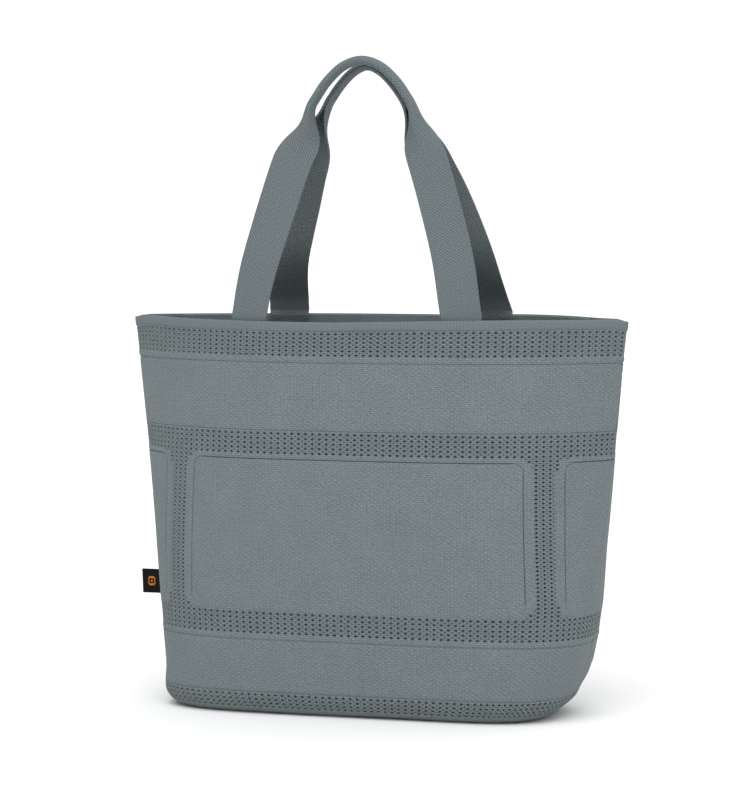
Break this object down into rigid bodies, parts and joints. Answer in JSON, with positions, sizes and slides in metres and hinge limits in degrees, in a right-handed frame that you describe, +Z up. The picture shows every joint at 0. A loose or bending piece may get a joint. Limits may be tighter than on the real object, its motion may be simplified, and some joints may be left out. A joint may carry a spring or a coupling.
{
  "type": "knitted shopping tote",
  "caption": "Soft open-topped tote knitted in slate grey yarn, with open mesh bands, a boxed base, rolled webbing handles and a small black label in its side seam.",
  "frame": {"origin": "on the floor, under the middle of the base", "axes": "X across the width with the label at -X, Y through the depth with the front at -Y, Z up"},
  "size_m": [0.495, 0.1728, 0.6288],
  "materials": {
    "slate_knit": "fine matt knit with open mesh bands",
    "slate_webbing": "matt twill-woven webbing",
    "slate_tape": "matt woven tape",
    "slate_thread": "twisted sewing thread, slight sheen",
    "black_label": "tightly woven satin label",
    "undyed_cord": "soft undyed cord",
    "grey_board": "matt extruded sheet"
  },
  "bodies": {
    "root": {"front_knit_panel": "slate_knit", "back_knit_panel": "slate_knit", "base_knit_panel": "slate_knit", "base_board": "grey_board", "front_rim_facing": "slate_tape", "back_rim_facing": "slate_tape", "left_side_seam_binding": "slate_tape", "right_side_seam_binding": "slate_tape", "front_rim_stitch": "slate_thread", "back_rim_stitch": "slate_thread", "front_left_strap_end": "slate_webbing", "front_right_strap_end": "slate_webbing", "back_left_strap_end": "slate_webbing", "back_right_strap_end": "slate_webbing", "front_left_box_stitch": "slate_thread", "front_right_box_stitch": "slate_thread", "back_left_box_stitch": "slate_thread", "back_right_box_stitch": "slate_thread"},
    "front_handle": {"front_handle_webbing": "slate_webbing", "front_grip_core": "undyed_cord", "front_grip_stitch": "slate_thread"},
    "back_handle": {"back_handle_webbing": "slate_webbing", "back_grip_core": "undyed_cord", "back_grip_stitch": "slate_thread"},
    "label": {"side_label": "black_label"}
  },
  "joints": [
    {"name": "front_handle_swing", "type": "hinge", "parent": "root", "child": "front_handle", "pos_m": [0, -0.07, 0.38375], "axis": [1, 0, 0], "range_deg": [0, 148]},
    {"name": "back_handle_swing", "type": "hinge", "parent": "root", "child": "back_handle", "pos_m": [0, 0.07, 0.38375], "axis": [-1, 0, 0], "range_deg": [0, 190]},
    {"name": "label_flex", "type": "hinge", "parent": "root", "child": "label", "pos_m": [-0.21943, 0, 0.1135], "axis": [-0.1153, 0, 0.9933], "range_deg": [-75, 75], "stiffness_Nm_per_rad": 0.0002}
  ]
}
